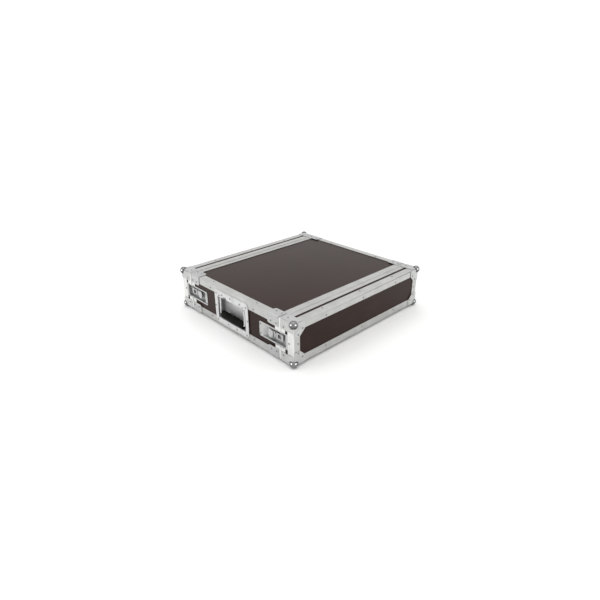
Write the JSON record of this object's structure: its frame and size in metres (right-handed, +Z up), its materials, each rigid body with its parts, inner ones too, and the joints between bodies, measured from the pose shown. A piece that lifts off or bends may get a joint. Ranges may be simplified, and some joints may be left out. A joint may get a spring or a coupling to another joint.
{
  "type": "rack flight case",
  "caption": "Flat plywood rack case with aluminium edges, ball corners, lift-off front and rear lids, recessed butterfly latches and sprung side handles.",
  "frame": {"origin": "on the floor under the case's centre: the centre of the bounding box's bottom face", "axes": "+X towards the case's right side (width), +Y towards its rear opening, +Z up; the front lid faces -Y"},
  "size_m": [0.5216, 0.499, 0.1276],
  "materials": {
    "board": "dark brown phenolic film on birch plywood, satin",
    "aluminium": "mill-finish extrusion, satin",
    "zinc": "bright zinc-plated steel",
    "chrome": "bright plated steel",
    "spring": "drawn steel wire and pin",
    "rubber": "moulded, matt",
    "rail": "black powder coat"
  },
  "bodies": {
    "case_body": {"bottom_panel": "board", "top_panel": "board", "left_panel": "board", "right_panel": "board", "edge_angle_bottom_left": "aluminium", "edge_angle_bottom_right": "aluminium", "edge_angle_top_left": "aluminium", "edge_angle_top_right": "aluminium", "front_closing_frame": "aluminium", "rear_closing_frame": "aluminium", "front_rack_rail_left": "rail", "front_rack_rail_right": "rail", "rear_rack_rail_left": "rail", "rear_rack_rail_right": "rail", "latch_dish_front_left": "zinc", "latch_dish_front_right": "zinc", "latch_dish_rear_left": "zinc", "latch_dish_rear_right": "zinc", "handle_dish_left": "zinc", "handle_pin_left": "spring", "handle_spring_left": "spring", "handle_dish_right": "zinc", "handle_pin_right": "spring", "handle_spring_right": "spring"},
    "front_lid": {"front_lid_tray": "board", "front_lid_closing_frame": "aluminium", "front_lid_edge_frame": "aluminium", "ball_corner_front_bottom_left": "chrome", "ball_corner_front_bottom_right": "chrome", "ball_corner_front_top_left": "chrome", "ball_corner_front_top_right": "chrome", "latch_keeper_front_left": "zinc", "latch_keeper_front_right": "zinc"},
    "rear_lid": {"rear_lid_tray": "board", "rear_lid_closing_frame": "aluminium", "rear_lid_edge_frame": "aluminium", "ball_corner_rear_bottom_left": "chrome", "ball_corner_rear_bottom_right": "chrome", "ball_corner_rear_top_left": "chrome", "ball_corner_rear_top_right": "chrome", "latch_keeper_rear_left": "zinc", "latch_keeper_rear_right": "zinc"},
    "latch_turn_front_left": {"latch_rotor_front_left": "zinc"},
    "latch_hook_front_left": {"latch_hook_front_left": "zinc"},
    "latch_wing_front_left": {"latch_wing_front_left": "zinc"},
    "latch_turn_front_right": {"latch_rotor_front_right": "zinc"},
    "latch_hook_front_right": {"latch_hook_front_right": "zinc"},
    "latch_wing_front_right": {"latch_wing_front_right": "zinc"},
    "latch_turn_rear_left": {"latch_rotor_rear_left": "zinc"},
    "latch_hook_rear_left": {"latch_hook_rear_left": "zinc"},
    "latch_wing_rear_left": {"latch_wing_rear_left": "zinc"},
    "latch_turn_rear_right": {"latch_rotor_rear_right": "zinc"},
    "latch_hook_rear_right": {"latch_hook_rear_right": "zinc"},
    "latch_wing_rear_right": {"latch_wing_rear_right": "zinc"},
    "handle_left": {"handle_bail_left": "zinc", "handle_grip_left": "rubber"},
    "handle_right": {"handle_bail_right": "zinc", "handle_grip_right": "rubber"}
  },
  "joints": [
    {"name": "front_lid_pull_off", "type": "slide", "parent": "case_body", "child": "front_lid", "axis": [0, -1, 0], "range_m": [0, 0.15]},
    {"name": "rear_lid_pull_off", "type": "slide", "parent": "case_body", "child": "rear_lid", "axis": [0, 1, 0], "range_m": [0, 0.15]},
    {"name": "latch_turn_front_left", "type": "hinge", "parent": "case_body", "child": "latch_turn_front_left", "pos_m": [-0.248, -0.164, 0.0638], "axis": [-1, 0, 0], "range_deg": [0, 180]},
    {"name": "latch_hook_slide_front_left", "type": "slide", "parent": "case_body", "child": "latch_hook_front_left", "axis": [0, -1, 0], "range_m": [0, 0.009]},
    {"name": "latch_wing_fold_front_left", "type": "hinge", "parent": "latch_turn_front_left", "child": "latch_wing_front_left", "pos_m": [-0.2509, -0.164, 0.0638], "axis": [0, 0, 1], "range_deg": [0, 90]},
    {"name": "latch_turn_front_right", "type": "hinge", "parent": "case_body", "child": "latch_turn_front_right", "pos_m": [0.248, -0.164, 0.0638], "axis": [1, 0, 0], "range_deg": [0, 180]},
    {"name": "latch_hook_slide_front_right", "type": "slide", "parent": "case_body", "child": "latch_hook_front_right", "axis": [0, -1, 0], "range_m": [0, 0.009]},
    {"name": "latch_wing_fold_front_right", "type": "hinge", "parent": "latch_turn_front_right", "child": "latch_wing_front_right", "pos_m": [0.2509, -0.164, 0.0638], "axis": [0, 0, -1], "range_deg": [0, 90]},
    {"name": "latch_turn_rear_left", "type": "hinge", "parent": "case_body", "child": "latch_turn_rear_left", "pos_m": [-0.248, 0.164, 0.0638], "axis": [-1, 0, 0], "range_deg": [0, 180]},
    {"name": "latch_hook_slide_rear_left", "type": "slide", "parent": "case_body", "child": "latch_hook_rear_left", "axis": [0, 1, 0], "range_m": [0, 0.009]},
    {"name": "latch_wing_fold_rear_left", "type": "hinge", "parent": "latch_turn_rear_left", "child": "latch_wing_rear_left", "pos_m": [-0.2509, 0.164, 0.0638], "axis": [0, 0, -1], "range_deg": [0, 90]},
    {"name": "latch_turn_rear_right", "type": "hinge", "parent": "case_body", "child": "latch_turn_rear_right", "pos_m": [0.248, 0.164, 0.0638], "axis": [1, 0, 0], "range_deg": [0, 180]},
    {"name": "latch_hook_slide_rear_right", "type": "slide", "parent": "case_body", "child": "latch_hook_rear_right", "axis": [0, 1, 0], "range_m": [0, 0.009]},
    {"name": "latch_wing_fold_rear_right", "type": "hinge", "parent": "latch_turn_rear_right", "child": "latch_wing_rear_right", "pos_m": [0.2509, 0.164, 0.0638], "axis": [0, 0, 1], "range_deg": [0, 90]},
    {"name": "handle_swing_left", "type": "hinge", "parent": "case_body", "child": "handle_left", "pos_m": [-0.2513, 0, 0.0938], "axis": [0, 1, 0], "range_deg": [0, 90], "stiffness_Nm_per_rad": 0.15, "springref_deg": -17.19},
    {"name": "handle_swing_right", "type": "hinge", "parent": "case_body", "child": "handle_right", "pos_m": [0.2513, 0, 0.0938], "axis": [0, -1, 0], "range_deg": [0, 90], "stiffness_Nm_per_rad": 0.15, "springref_deg": -17.19}
  ],
  "couplings": [
    {"joint": "latch_hook_slide_front_left", "follows": "latch_turn_front_left", "m_per_rad": 0.0028647},
    {"joint": "latch_hook_slide_front_right", "follows": "latch_turn_front_right", "m_per_rad": 0.0028647},
    {"joint": "latch_hook_slide_rear_left", "follows": "latch_turn_rear_left", "m_per_rad": 0.0028647},
    {"joint": "latch_hook_slide_rear_right", "follows": "latch_turn_rear_right", "m_per_rad": 0.0028647}
  ]
}
